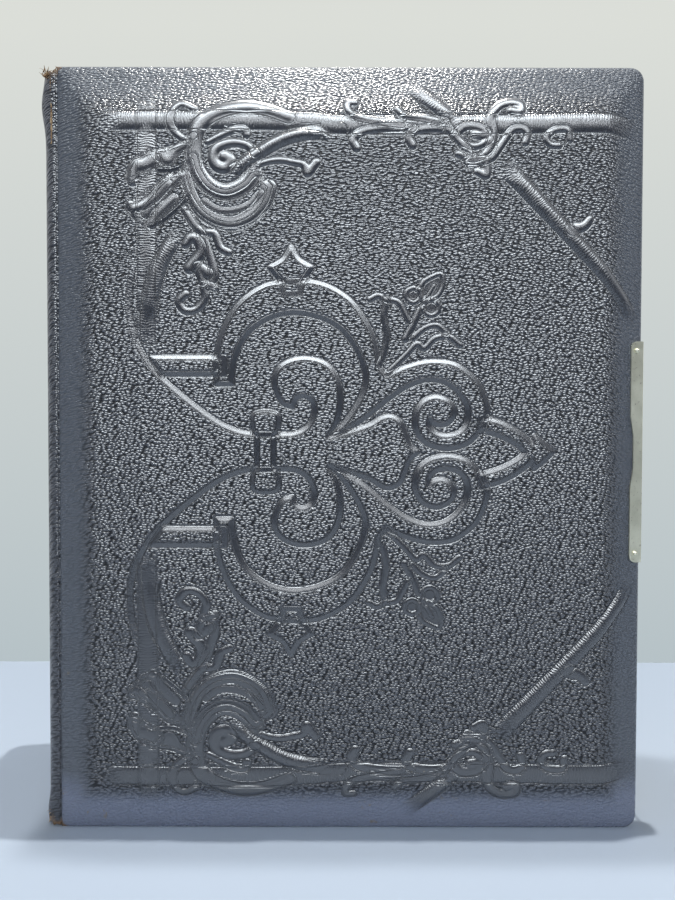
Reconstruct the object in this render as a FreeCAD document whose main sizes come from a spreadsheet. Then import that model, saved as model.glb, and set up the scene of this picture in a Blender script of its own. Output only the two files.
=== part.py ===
import FreeCAD, Part
import math
import os

import Sketcher
from FreeCAD import Vector

doc = FreeCAD.newDocument("photograph_album")
sheet = doc.addObject("Spreadsheet::Sheet", "Sizes")

# Driving sizes, in millimetres, with the number of leaves
sizes = {
    # covers, measured over the leather
    "cover_tall": 280.0,
    "cover_wide": 214.0,
    "corner_round": 5.0,
    "board_thick": 3.6,
    "panel_rise": 3.6,
    "bevel_side": 14.0,
    "bevel_head": 18.0,
    "leather_thick": 0.9,
    "turn_in_wide": 9.0,
    "lining_thick": 0.5,
    "joint_margin": 3.0,
    # spine
    "spine_reach": 5.5,
    "spine_round": 5.0,
    "spine_card_thick": 1.5,
    "mull_thick": 0.4,
    "band_radius": 1.1,
    # book block
    "leaf_count": 14,
    "leaf_pitch": 3.1,
    "mat_thick": 0.8,
    "core_thick": 0.7,
    "cover_gap": 0.4,
    "square_head": 4.0,
    "square_fore": 5.2,
    "guard_deep": 10.0,
    "cloth_long": 11.0,
    "cloth_tuck": 6.0,
    # window and pocket for one cabinet card
    "window_wide": 98.0,
    "window_tall": 148.0,
    "window_round": 8.0,
    "card_wide": 108.0,
    "card_tall": 165.0,
    "card_clear": 0.5,
    "slit_tall": 1.4,
    # staples through the guards
    "staple_count": 3,
    "staple_spacing": 96.0,
    "staple_wide": 14.0,
    "staple_foot": 5.0,
    "wire_radius": 0.5,
    # metal plates at the fore edge
    "plate_long": 81.0,
    "plate_thick": 0.6,
    "plate_bend": 0.4,
    "lip_wide": 4.4,
    "lip_round": 2.5,
    "neck_deep": 1.2,
    "neck_long": 12.0,
    "neck_mouth": 26.0,
    "pin_inset": 3.4,
    "pin_radius": 0.55,
    "pin_long": 3.6,
    "pin_head": 1.0,
    # clasp
    "barrel_radius": 1.2,
    "barrel_long": 22.0,
    "knuckle_long": 10.0,
    "hinge_pin_radius": 0.6,
    "running_gap": 0.05,
    "side_gap": 0.3,
    "flap_thick": 0.5,
    "flap_wide": 20.0,
    "flap_shoulder": 3.0,
    "tip_wide": 12.4,
    "tip_reach": 3.2,
    "tip_straight": 8.0,
    "hook_thick": 0.6,
    "hook_deep": 1.0,
    "hook_gap": 0.2,
    "bar_radius": 0.5,
    "bar_long": 17.0,
    "recess_deep": 1.6,
    "nib_wide": 3.0,
    "nib_long": 1.4,
    "nib_reach": 0.5,
}
for row, (name, value) in enumerate(sizes.items(), start=1):
    sheet.set(f"A{row}", name)
    sheet.set(f"B{row}", str(value))
    sheet.setAlias(f"B{row}", name)
doc.recompute()

LEAVES = int(sheet.leaf_count)
STAPLES = int(sheet.staple_count)
TINY = 1e-4
PAST = "1"  # how far a cutting shape runs past what it cuts
finished = []

# Places that follow from the sizes: x from the back of the spine to the fore edge
total_wide = "(Sizes.spine_reach + Sizes.cover_wide + Sizes.plate_thick + Sizes.nib_reach)"
back_x = f"(-{total_wide} / 2)"
joint_x = f"({back_x} + Sizes.spine_reach)"
edge_x = f"({joint_x} + Sizes.cover_wide)"
card_x = f"({back_x} + Sizes.leather_thick)"
mull_x = f"({card_x} + Sizes.spine_card_thick)"
guard_x = f"({mull_x} + Sizes.mull_thick)"
guard_end_x = f"({guard_x} + Sizes.guard_deep)"
hinge_x = f"({guard_end_x} + Sizes.core_thick / 2)"
mat_x = f"({hinge_x} + Sizes.cloth_long)"
core_x = f"({mat_x} + Sizes.cloth_tuck)"
leaf_end_x = f"({edge_x} - Sizes.square_fore)"
window_x = f"(({mat_x} + {leaf_end_x}) / 2)"

# Places along y, as distances from the middle of the book block
half_block = "(Sizes.leaf_count * Sizes.leaf_pitch / 2)"
inner_y = f"({half_block} + Sizes.cover_gap)"
board_y = f"({inner_y} + Sizes.leather_thick)"
panel_y = f"({board_y} + Sizes.board_thick)"
foot_y = f"({panel_y} + Sizes.leather_thick)"
panel_top_y = f"({panel_y} + Sizes.panel_rise)"
face_y = f"({panel_top_y} + Sizes.leather_thick)"
joint_inner_y = f"({foot_y} - Sizes.leather_thick)"

# Places along z, from the foot of the covers
middle_z = "(Sizes.cover_tall / 2)"
leaf_low_z = "Sizes.square_head"
leaf_high_z = "(Sizes.cover_tall - Sizes.square_head)"
leather_top_z = "(Sizes.cover_tall - Sizes.leather_thick)"

# Slope of the bevel, and the middle of the clasp's hinge
slope = "atan(Sizes.panel_rise / Sizes.bevel_side)"
plate_x = f"({edge_x} + Sizes.plate_thick)"
barrel_x = f"({plate_x} - Sizes.barrel_radius)"
barrel_y = f"({inner_y} - Sizes.barrel_radius - Sizes.hook_gap)"


def bind(item, expressions):
    """Tie properties of an object to expressions on the sheet."""
    for path, expression in expressions.items():
        item.setExpression(path, expression)
    return item


def corners(low, high):
    """Expressions that place and size a block between two corners."""
    sides = {}
    for side, axis, near, far in zip(("Length", "Width", "Height"), "xyz", low, high):
        sides[side] = f"{far} - ({near})"
        sides[f"Placement.Base.{axis}"] = near
    return sides


def block(name, low, high):
    """A plain block between two corners."""
    return bind(doc.addObject("Part::Box", name), corners(low, high))


def cut(name, base, tools):
    """One piece with other shapes taken out of it."""
    result = doc.addObject("Part::Cut", name)
    result.Base = base
    result.Tool = tools[0] if len(tools) == 1 else fuse(f"{name}_tools", tools)
    return result


def fuse(name, pieces):
    """Several shapes as one."""
    result = doc.addObject("Part::MultiFuse", name)
    result.Shapes = pieces
    return result


def group(name, pieces):
    """Separate solids that belong to one sub-part."""
    result = doc.addObject("Part::Compound", name)
    result.Links = pieces
    return result


def rod(name, axis, radius, start, length):
    """A round rod along y or z from a start point."""
    item = bind(doc.addObject("Part::Cylinder", name), {"Radius": radius, "Height": length})
    bind(item, {f"Placement.Base.{letter}": place for letter, place in zip("xyz", start)})
    if axis == "y":
        item.Placement.Rotation = FreeCAD.Rotation(Vector(1, 0, 0), -90)
    return item


def round_edges(body, feature, name, radius, chosen):
    """Round the edges of a feature whose bounding boxes pass a test against the feature's own."""
    whole = feature.Shape.BoundBox
    edges = [f"Edge{number}" for number, edge in enumerate(feature.Shape.Edges, start=1)
             if chosen(edge.BoundBox, whole)]
    rounding = body.newObject("PartDesign::Fillet", name)
    rounding.Base = (feature, edges)
    rounding.setExpression("Radius", radius)
    doc.recompute()
    return rounding


def rounded_block(name, low, high, radius, chosen):
    """A block with some of its edges rounded."""
    body = doc.addObject("PartDesign::Body", name)
    solid = bind(body.newObject("PartDesign::AdditiveBox", f"{name}_block"), corners(low, high))
    doc.recompute()
    round_edges(body, solid, f"{name}_rounding", radius, chosen)
    return body


def outline(body, name, role, points):
    """A closed sketch of straight lines on an origin plane, each corner set by two expressions."""
    sketch = body.newObject("Sketcher::SketchObject", name)
    plane = next(item for item in body.Origin.OriginFeatures if item.Role == role)
    sketch.AttachmentSupport = [(plane, "")]
    sketch.MapMode = "FlatFace"
    count = len(points)
    ring = Part.Circle(Vector(0, 0, 0), Vector(0, 0, 1), 10)
    rough = [ring.value(2 * math.pi * i / count) for i in range(count)]
    for i in range(count):
        sketch.addGeometry(Part.LineSegment(rough[i], rough[(i + 1) % count]), False)
    for i in range(count):
        sketch.addConstraint(Sketcher.Constraint("Coincident", i, 2, (i + 1) % count, 1))
    for i, point in enumerate(points):
        for kind, place in zip(("DistanceX", "DistanceY"), point):
            number = sketch.addConstraint(Sketcher.Constraint(kind, -1, 1, i, 1, 1.0))
            sketch.setExpression(f"Constraints[{number}]", place)
    return sketch


def pad(body, name, sketch, length, midplane=False):
    """A sketch made solid."""
    result = body.newObject("PartDesign::Pad", name)
    result.Profile = sketch
    result.Midplane = midplane
    result.setExpression("Length", length)
    return result


def across(side, near, far):
    """Low and high y of a layer of one cover, from its distances to the middle of the album."""
    if side == "front":
        return f"-{far}", f"-{near}"
    return near, far


def label(item, name):
    """Name a finished sub-part; these are the ones written out."""
    item.Label = name
    finished.append(item)


# Spine: leather over a stiff card, linen on the backs of the guards, rolled bands at both ends
def make_spine():
    def back_corner(edge, whole):
        return edge.ZLength > whole.ZLength - TINY and edge.XMin < whole.XMin + TINY

    form = rounded_block(
        "spine_form", (back_x, f"-{foot_y}", "0"), (joint_x, foot_y, "Sizes.cover_tall"),
        "Sizes.spine_round", back_corner)
    hollow = rounded_block(
        "spine_hollow", (mull_x, f"-{joint_inner_y}", f"-{PAST}"),
        (f"{joint_x} + Sizes.spine_round", joint_inner_y, f"Sizes.cover_tall + {PAST}"),
        "Sizes.spine_round - Sizes.leather_thick", back_corner)
    card_half = f"({foot_y} - Sizes.spine_round)"
    card = block("card_strip", (card_x, f"-{card_half}", "Sizes.leather_thick"),
                 (mull_x, card_half, leather_top_z))
    label(card, "spine_card")
    label(cut("spine_skin", form, [hollow, card]), "spine_leather")
    mull = block("mull_strip", (mull_x, f"-{half_block}", leaf_low_z),
                 (guard_x, half_block, leaf_high_z))
    label(mull, "spine_mull")
    band_x = f"{guard_x} + Sizes.band_radius"
    for name, band_z in (("head_band", f"{leaf_high_z} + Sizes.band_radius"),
                         ("tail_band", f"{leaf_low_z} - Sizes.band_radius")):
        band = rod(f"{name}_roll", "y", "Sizes.band_radius", (band_x, f"-{half_block}", band_z),
                   f"2 * {half_block}")
        label(band, name)


# Guards: card strips side by side, one for each leaf, held by wire staples
def make_guards():
    staples = []
    staple_x = f"({mull_x} + Sizes.mull_thick + Sizes.wire_radius * 2)"
    for number in range(1, STAPLES + 1):
        step = f"({number} - (Sizes.staple_count + 1) / 2) * Sizes.staple_spacing"
        centre = f"{middle_z} + {step}"
        bits = []
        for end, sign in (("low", "-"), ("high", "+")):
            leg_z = f"{centre} {sign} Sizes.staple_wide / 2"
            reach = f"({half_block} + Sizes.wire_radius)"
            bits.append(rod(f"staple_{number}_{end}_leg", "y", "Sizes.wire_radius",
                            (staple_x, f"-{reach}", leg_z), f"2 * {reach}"))
            foot_start = leg_z if end == "low" else f"{leg_z} - Sizes.staple_foot"
            bits.append(rod(f"staple_{number}_{end}_foot", "z", "Sizes.wire_radius",
                            (staple_x, reach, foot_start), "Sizes.staple_foot"))
        bits.append(rod(f"staple_{number}_crown", "z", "Sizes.wire_radius",
                        (staple_x, f"-{reach}", f"{centre} - Sizes.staple_wide / 2"),
                        "Sizes.staple_wide"))
        staples.append(fuse(f"staple_{number}", bits))
    label(group("staples", staples), "guard_staples")
    strips = []
    for number in range(1, LEAVES + 1):
        low_y = f"{number - 1} * Sizes.leaf_pitch - {half_block}"
        strip = block(f"guard_{number}_strip", (guard_x, low_y, leaf_low_z),
                      (guard_end_x, f"{number} * Sizes.leaf_pitch - {half_block}", leaf_high_z))
        strips.append(cut(f"guard_{number}", strip, staples))
    label(group("guards", strips), "leaf_guards")


def bevelled(name, side, inset, near, far):
    """The sloping form of a cover: its outline at near, drawn in by the bevel widths at far."""
    wide = (f"{joint_x} + {inset}", f"{edge_x} - {inset}", inset, f"Sizes.cover_tall - {inset}")
    narrow = (f"{joint_x} + Sizes.bevel_side", f"{edge_x} - Sizes.bevel_side",
              "Sizes.bevel_head", "Sizes.cover_tall - Sizes.bevel_head")
    first, last = (narrow, wide) if side == "front" else (wide, narrow)
    low, high = across(side, near, far)
    form = bind(doc.addObject("Part::Wedge", name), {"Ymin": low, "Ymax": high})
    bind(form, dict(zip(("Xmin", "Xmax", "Zmin", "Zmax"), first)))
    return bind(form, dict(zip(("X2min", "X2max", "Z2min", "Z2max"), last)))


def cover_outline(name, side, inset, near, far):
    """A slab of the cover's outline, its two fore-edge corners rounded."""
    low, high = across(side, near, far)
    return rounded_block(
        name, (f"{joint_x} + {inset}", low, inset),
        (f"{edge_x} - {inset}", high, f"Sizes.cover_tall - {inset}"),
        f"Sizes.corner_round - {inset}",
        lambda edge, whole: edge.YLength > whole.YLength - TINY and edge.XMin > whole.XMax - TINY)


def plate_form(name, side):
    """A plate bent over the fore edge of a cover, its lip following the bevel."""
    sign = "-" if side == "front" else ""
    rise = f"tan({slope})"
    lift = f"Sizes.plate_thick / cos({slope})"
    lip_x = f"{edge_x} - Sizes.lip_wide"
    lip_y = f"{foot_y} + Sizes.lip_wide * {rise}"
    corner_y = f"{foot_y} - Sizes.plate_thick * {rise} + {lift}"
    profile = [(edge_x, inner_y), (edge_x, foot_y), (lip_x, lip_y), (lip_x, f"{lip_y} + {lift}"),
               (plate_x, corner_y), (plate_x, inner_y)]
    body = bind(doc.addObject("PartDesign::Body", name), {"Placement.Base.z": middle_z})
    sketch = outline(body, f"{name}_profile", "XY_Plane",
                     [(x, f"{sign}({y})") for x, y in profile])
    bent = pad(body, f"{name}_sheet", sketch, "Sizes.plate_long", midplane=True)
    doc.recompute()

    def bend(edge, whole):
        web_end = -whole.YMax if side == "front" else whole.YMin
        on_web = edge.XMin > whole.XMax - TINY and abs(edge.Center.y) > web_end + TINY
        return on_web and edge.ZLength > whole.ZLength - TINY

    bent = round_edges(body, bent, f"{name}_bend", "Sizes.plate_bend", bend)
    neck = outline(body, f"{name}_neck", "XZ_Plane",
                   [(f"{lip_x} - Sizes.neck_deep", "-Sizes.neck_mouth / 2"),
                    (lip_x, "-Sizes.neck_mouth / 2"),
                    (f"{lip_x} + Sizes.neck_deep", "-Sizes.neck_long / 2"),
                    (f"{lip_x} + Sizes.neck_deep", "Sizes.neck_long / 2"),
                    (lip_x, "Sizes.neck_mouth / 2"),
                    (f"{lip_x} - Sizes.neck_deep", "Sizes.neck_mouth / 2")])
    waist = body.newObject("PartDesign::Pocket", f"{name}_waist")
    waist.Profile = neck
    waist.Type = "ThroughAll"
    waist.Midplane = True
    doc.recompute()
    if waist.Shape.Volume > bent.Shape.Volume - TINY:
        raise RuntimeError(f"the waist of {name} cuts nothing")
    low, high = across(side, inner_y, f"({face_y} + Sizes.plate_thick)")
    half = "Sizes.plate_long / 2"
    rounded = doc.addObject("Part::Common", f"{name}_rounded")
    rounded.Base = body
    rounded.Tool = rounded_block(
        f"{name}_outline", (lip_x, low, f"{middle_z} - {half}"),
        (plate_x, high, f"{middle_z} + {half}"), "Sizes.lip_round",
        lambda edge, whole: edge.YLength > whole.YLength - TINY and edge.XMax < whole.XMin + TINY)
    return rounded


def plate_pins(name, side):
    """Two domed pins, square to the bevel, one near each end of a plate."""
    sign = "-" if side == "front" else ""
    inset = "Sizes.lip_wide / 2"
    head_y = f"({foot_y} + {inset} * tan({slope}) + Sizes.plate_thick / cos({slope}))"
    pins = []
    for end, step in (("lower", "-1"), ("upper", "1")):
        pin = doc.addObject("PartDesign::Body", f"{name}_{end}")
        bind(pin, {
            "Placement.Base.x": f"{edge_x} - {inset}",
            "Placement.Base.y": f"{sign}{head_y}",
            "Placement.Base.z": f"{middle_z} + {step} * (Sizes.plate_long / 2 - Sizes.pin_inset)",
            "Placement.Rotation.Axis.x": f"cos({slope})" if side == "front" else f"-cos({slope})",
            "Placement.Rotation.Axis.y": f"sin({slope})",
            "Placement.Rotation.Axis.z": "0",
            "Placement.Rotation.Angle": "90"})
        bind(pin.newObject("PartDesign::AdditiveCylinder", f"{name}_{end}_shaft"),
             {"Radius": "Sizes.pin_radius", "Height": "Sizes.pin_long",
              "Placement.Base.z": "-Sizes.pin_long"})
        dome = pin.newObject("PartDesign::AdditiveSphere", f"{name}_{end}_dome")
        dome.Angle1 = 0
        bind(dome, {"Radius": "Sizes.pin_head"})
        pins.append(pin)
    return pins


def make_cover(side, plate_name, pins_name, finish_plate, board_cuts):
    """Board, raised panel, leather skin, paper lining, fore-edge plate and its pins."""
    skin = "Sizes.leather_thick"
    board = cover_outline(f"{side}_board_form", side, skin, board_y, panel_y)
    panel = doc.addObject("Part::Common", f"{side}_panel_form")
    panel.Base = bevelled(f"{side}_panel_bevel", side, skin, panel_y, panel_top_y)
    panel.Tool = cover_outline(f"{side}_panel_outline", side, skin, panel_y, panel_top_y)
    low, high = across(side, inner_y, foot_y)
    slab = block(f"{side}_slab", (joint_x, low, "0"), (edge_x, high, "Sizes.cover_tall"))
    swell = bevelled(f"{side}_skin_bevel", side, "0", foot_y, face_y)
    form = doc.addObject("Part::Common", f"{side}_form")
    form.Base = fuse(f"{side}_swell", [slab, swell])
    form.Tool = cover_outline(f"{side}_outline", side, "0", inner_y, face_y)
    low, high = across(side, inner_y, board_y)
    window = block(f"{side}_lining_space",
                   (f"{joint_x} + Sizes.joint_margin", low, "Sizes.turn_in_wide"),
                   (f"{edge_x} - Sizes.turn_in_wide", high,
                    "Sizes.cover_tall - Sizes.turn_in_wide"))
    pins = plate_pins(pins_name, side)
    holes = pins + board_cuts
    label(cut(f"{side}_board_cut", board, holes), f"{side}_board")
    label(cut(f"{side}_panel_cut", panel, pins), f"{side}_panel")
    label(cut(f"{side}_skin", form, [board, panel, window] + holes), f"{side}_leather")
    low, high = across(side, f"({board_y} - Sizes.lining_thick)", board_y)
    lining = block(f"{side}_paper",
                   (f"{joint_x} + Sizes.joint_margin", low, "Sizes.turn_in_wide"),
                   (f"{edge_x} - Sizes.turn_in_wide", high,
                    "Sizes.cover_tall - Sizes.turn_in_wide"))
    label(lining, f"{side}_lining")
    plate, plate_holes = finish_plate(plate_form(f"{plate_name}_form", side))
    label(cut(f"{plate_name}_cut", plate, pins + plate_holes), plate_name)
    label(group(pins_name, pins), pins_name)


# Catch on the front cover: a notch in the plate with a bar across it, over a recess in the board
def make_front_cover():
    mouth = "(Sizes.tip_wide / 2 + Sizes.side_gap)"
    floor_y = f"({inner_y} + Sizes.tip_reach + Sizes.side_gap)"
    recess = block("catch_recess",
                   (f"{edge_x} - Sizes.recess_deep", f"-{floor_y}",
                    f"{middle_z} - Sizes.bar_long / 2"),
                   (f"{plate_x} + {PAST}", f"-({inner_y} - {PAST})",
                    f"{middle_z} + Sizes.bar_long / 2"))
    notch = block("catch_notch", (f"{edge_x} - Sizes.recess_deep", f"-{floor_y}",
                                  f"{middle_z} - {mouth}"),
                  (f"{plate_x} + {PAST}", f"-({inner_y} - {PAST})", f"{middle_z} + {mouth}"))
    make_cover("front", "catch_plate", "catch_pins", lambda form: (form, [notch]), [recess])
    hook_y = f"({inner_y} + Sizes.tip_reach - Sizes.hook_thick)"
    bar = rod("bar", "z", "Sizes.bar_radius",
              (f"{edge_x} - Sizes.bar_radius", f"-({hook_y} - Sizes.hook_gap - Sizes.bar_radius)",
               f"{middle_z} - Sizes.bar_long / 2"), "Sizes.bar_long")
    label(bar, "catch_bar")


# Rear cover: its plate is rolled into two knuckles round the clasp's hinge pin
def make_rear_cover():
    half = "Sizes.barrel_long / 2"
    pin = rod("clasp_pin", "z", "Sizes.hinge_pin_radius",
              (barrel_x, barrel_y, f"{middle_z} - {half}"), "Sizes.barrel_long")

    def with_knuckles(form):
        arm = block("knuckle_arm", (edge_x, barrel_y, f"{middle_z} - {half}"),
                    (plate_x, f"{inner_y} + Sizes.side_gap", f"{middle_z} + {half}"))
        roll = rod("knuckle_roll", "z", "Sizes.barrel_radius",
                   (barrel_x, barrel_y, f"{middle_z} - {half}"), "Sizes.barrel_long")
        gap = "(Sizes.knuckle_long / 2 + Sizes.side_gap)"
        slot = block("knuckle_slot",
                     (f"{barrel_x} - 2 * Sizes.barrel_radius", f"{barrel_y} - 2 * Sizes.barrel_radius",
                      f"{middle_z} - {gap}"),
                     (f"{plate_x} + {PAST}", f"{inner_y} + Sizes.barrel_radius",
                      f"{middle_z} + {gap}"))
        return fuse("knuckles", [form, arm, roll]), [slot, pin]

    make_cover("rear", "clasp_hinge_plate", "clasp_plate_pins", with_knuckles, [])
    label(pin, "clasp_hinge_pin")


# Clasp: a tapered flap with a hook at its tip and a small tab for the thumb
def make_clasp():
    body = doc.addObject("PartDesign::Body", "flap")
    bind(body, {"Placement.Base.x": barrel_x, "Placement.Base.y": barrel_y,
                "Placement.Base.z": middle_z})
    tip = f"({barrel_y} + {inner_y} + Sizes.tip_reach)"
    under = "(Sizes.barrel_radius - Sizes.flap_thick)"
    half_outline = [("0", "Sizes.knuckle_long / 2"),
                    ("-Sizes.flap_shoulder", "Sizes.knuckle_long / 2"),
                    ("-Sizes.flap_shoulder", "Sizes.flap_wide / 2"),
                    (f"-({tip} - Sizes.tip_straight)", "Sizes.tip_wide / 2"),
                    (f"-{tip}", "Sizes.tip_wide / 2")]
    other_half = [(y, f"-({z})") for y, z in reversed(half_outline)]
    sketch = outline(body, "flap_outline", "YZ_Plane", half_outline + other_half)
    sketch.setExpression("AttachmentOffset.Base.z", under)
    pad(body, "flap_sheet", sketch, "Sizes.flap_thick")
    bind(body.newObject("PartDesign::AdditiveCylinder", "flap_knuckle"),
         {"Radius": "Sizes.barrel_radius", "Height": "Sizes.knuckle_long",
          "Placement.Base.z": "-Sizes.knuckle_long / 2"})
    bind(body.newObject("PartDesign::AdditiveBox", "flap_hook"),
         corners((f"{under} - Sizes.hook_deep", f"-{tip}", "-Sizes.tip_wide / 2"),
                 ("Sizes.barrel_radius", f"Sizes.hook_thick - {tip}", "Sizes.tip_wide / 2")))
    bind(body.newObject("PartDesign::AdditiveBox", "flap_thumb_tab"),
         corners((under, f"-{tip}", "-Sizes.nib_wide / 2"),
                 ("Sizes.barrel_radius + Sizes.nib_reach", f"Sizes.nib_long - {tip}",
                  "Sizes.nib_wide / 2")))
    bind(body.newObject("PartDesign::SubtractiveCylinder", "flap_bore"),
         {"Radius": "Sizes.hinge_pin_radius + Sizes.running_gap",
          "Height": f"Sizes.knuckle_long + 2 * {PAST}",
          "Placement.Base.z": f"-Sizes.knuckle_long / 2 - {PAST}"})
    label(body, "clasp_flap")


# Leaves: two mats on a core, with a linen hinge; one cut shapes the windows of all leaves
def make_leaves():
    through = (f"-{foot_y}", foot_y)
    pocket_half = "(Sizes.card_tall / 2 + Sizes.card_clear)"
    card_half = "(Sizes.card_wide / 2 + Sizes.card_clear)"
    window = rounded_block(
        "window_space",
        (f"{window_x} - Sizes.window_wide / 2", through[0],
         f"{middle_z} - Sizes.window_tall / 2"),
        (f"{window_x} + Sizes.window_wide / 2", through[1],
         f"{middle_z} + Sizes.window_tall / 2"),
        "Sizes.window_round", lambda edge, whole: edge.YLength > whole.YLength - TINY)
    slit = block("slit_space",
                 (f"{window_x} - {card_half}", through[0], f"{middle_z} - {pocket_half}"),
                 (f"{window_x} + {card_half}", through[1],
                  f"{middle_z} - {pocket_half} + Sizes.slit_tall"))
    pocket = block("pocket_space",
                   (f"{window_x} - {card_half}", through[0], f"{middle_z} - {pocket_half}"),
                   (f"{window_x} + {card_half}", through[1], f"{middle_z} + {pocket_half}"))
    openings = fuse("mat_openings", [window, slit])
    core_half = "Sizes.core_thick / 2"
    for number in range(1, LEAVES + 1):
        name = f"leaf_{number:02d}"
        centre = f"(({number} - 0.5) * Sizes.leaf_pitch - {half_block})"
        low_core, high_core = f"{centre} - {core_half}", f"{centre} + {core_half}"
        front = block(f"{name}_front_sheet", (mat_x, f"{low_core} - Sizes.mat_thick", leaf_low_z),
                      (leaf_end_x, low_core, leaf_high_z))
        back = block(f"{name}_back_sheet", (mat_x, high_core, leaf_low_z),
                     (leaf_end_x, f"{high_core} + Sizes.mat_thick", leaf_high_z))
        core = block(f"{name}_core_sheet", (core_x, low_core, leaf_low_z),
                     (leaf_end_x, high_core, leaf_high_z))
        plies = [cut(f"{name}_front_mat", front, [openings]), cut(f"{name}_core", core, [pocket]),
                 cut(f"{name}_back_mat", back, [openings])]
        label(group(f"{name}_plies", plies), name)
        cloth = doc.addObject("PartDesign::Body", f"{name}_linen")
        bind(cloth.newObject("PartDesign::AdditiveBox", f"{name}_strip"),
             corners((hinge_x, low_core, leaf_low_z), (core_x, high_core, leaf_high_z)))
        bind(cloth.newObject("PartDesign::AdditiveCylinder", f"{name}_bead"),
             {"Radius": core_half, "Height": f"{leaf_high_z} - {leaf_low_z}",
              "Placement.Base.x": hinge_x, "Placement.Base.y": centre,
              "Placement.Base.z": leaf_low_z})
        label(cloth, f"{name}_cloth")


make_spine()
make_guards()
make_front_cover()
make_rear_cover()
make_clasp()
make_leaves()
doc.recompute()

for item in doc.Objects:
    if "Invalid" in item.State or "Error" in item.State:
        raise RuntimeError(f"{item.Name} failed: {item.State}")
for item in finished:
    if item.Shape.isNull() or not item.Shape.isValid() or not item.Shape.Solids:
        raise RuntimeError(f"{item.Label} has no valid solid")

os.makedirs("parts", exist_ok=True)
for item in finished:
    item.Shape.exportStep(f"parts/{item.Label}.step")
    box = item.Shape.BoundBox
    print(f"{item.Label}: {len(item.Shape.Solids)} solids, {item.Shape.Volume:.0f} mm3, "
          f"x {box.XMin:.2f} to {box.XMax:.2f}, y {box.YMin:.2f} to {box.YMax:.2f}, "
          f"z {box.ZMin:.2f} to {box.ZMax:.2f}")
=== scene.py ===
import math

import bmesh
import bpy
import numpy as np
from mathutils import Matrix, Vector


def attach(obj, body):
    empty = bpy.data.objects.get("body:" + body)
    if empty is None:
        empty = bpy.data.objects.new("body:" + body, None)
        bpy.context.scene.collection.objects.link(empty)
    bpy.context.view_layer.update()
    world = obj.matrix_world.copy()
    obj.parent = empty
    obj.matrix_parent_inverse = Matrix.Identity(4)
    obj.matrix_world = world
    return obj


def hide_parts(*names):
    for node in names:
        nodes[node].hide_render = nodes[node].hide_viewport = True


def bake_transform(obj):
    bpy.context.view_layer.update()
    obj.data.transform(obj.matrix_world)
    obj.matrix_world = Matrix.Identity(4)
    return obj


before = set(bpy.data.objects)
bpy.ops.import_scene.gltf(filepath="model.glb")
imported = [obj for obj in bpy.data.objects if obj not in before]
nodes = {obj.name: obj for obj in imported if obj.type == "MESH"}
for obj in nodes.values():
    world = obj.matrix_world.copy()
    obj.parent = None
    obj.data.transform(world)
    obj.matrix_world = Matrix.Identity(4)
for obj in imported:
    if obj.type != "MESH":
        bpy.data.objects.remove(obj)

bpy.ops.object.select_all(action="DESELECT")
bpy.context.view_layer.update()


# The album stands upright and closed, and is looked at square on from the height of its middle.
# Places and sizes in millimetres are turned to metres where they are used.
MM = 0.001
camera_data = bpy.data.cameras.new("album_camera")
camera_data.sensor_fit = "VERTICAL"
camera_data.sensor_height = 36.0
camera_data.lens = 26.0
camera_data.clip_start = 0.01
camera = bpy.data.objects.new("album_camera", camera_data)
camera.location = (-2.2 * MM, -266.5 * MM, 145.6 * MM)
camera.rotation_euler = (math.radians(88.8), math.radians(-0.12), 0.0)
bpy.context.scene.collection.objects.link(camera)
bpy.context.scene.camera = camera
bpy.context.scene.view_settings.view_transform = "Standard"


# Table and wall: a pale table whose back edge lies a hand's breadth behind the album,
# and a pale wall well behind it. Both are only the setting.
def node_maker(tree):
    """A way to add a node to a tree with its inputs joined or set."""
    def node(kind, inputs=None, **settings):
        item = tree.nodes.new(kind)
        for key, value in settings.items():
            setattr(item, key, value)
        for key, value in (inputs or {}).items():
            if isinstance(value, bpy.types.NodeSocket):
                tree.links.new(value, item.inputs[key])
            else:
                item.inputs[key].default_value = value
        return item
    return node


def new_material(name):
    """A new material: a way to add nodes, a way to finish it, and the place on the piece."""
    material = bpy.data.materials.new(name)
    material.use_nodes = True
    tree = material.node_tree
    shader = next(node for node in tree.nodes if node.type == "BSDF_PRINCIPLED")

    def finish(**sockets):
        for key, value in sockets.items():
            socket = shader.inputs[key.replace("_", " ")]
            if isinstance(value, bpy.types.NodeSocket):
                tree.links.new(value, socket)
            else:
                socket.default_value = value
        return material

    node = node_maker(tree)
    return node, finish, node("ShaderNodeTexCoord").outputs["Object"]


def math_node(node, operation, *values, clamp=False):
    """One step of arithmetic on shader values."""
    item = node("ShaderNodeMath", dict(enumerate(values)), operation=operation)
    item.use_clamp = clamp
    return item.outputs[0]


def apart(node, first, second):
    """How far apart two shader values are."""
    return math_node(node, "ABSOLUTE", math_node(node, "SUBTRACT", first, second))


def noise(node, place, scale, detail, roughness=0.5):
    """Cloudy noise from 0 to 1."""
    return node("ShaderNodeTexNoise", {"Vector": place, "Scale": scale, "Detail": detail,
                                       "Roughness": roughness}).outputs[0]


def spread(node, value, low, high):
    """A value brought from a span of its own to 0 to 1."""
    return node("ShaderNodeMapRange",
                {"Value": value, "From Min": low, "From Max": high}).outputs[0]


def bump(node, height, distance):
    """Fine relief of a surface."""
    return node("ShaderNodeBump", {"Height": height, "Distance": distance}).outputs[0]


def mix_colour(node, share, first, second):
    """One colour passing into another."""
    return node("ShaderNodeMix", {0: share, 6: first, 7: second}, data_type="RGBA").outputs[2]


def ramp(node, value, *stops):
    """A colour ramp through (place, colour) stops."""
    item = node("ShaderNodeValToRGB", {0: value})
    steps = item.color_ramp.elements
    while len(steps) < len(stops):
        steps.new(0.5)
    for step, (place, colour) in zip(steps, stops):
        step.position = place
        step.color = colour if isinstance(colour, tuple) else (colour, colour, colour, 1)
    return item.outputs[0]


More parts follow.
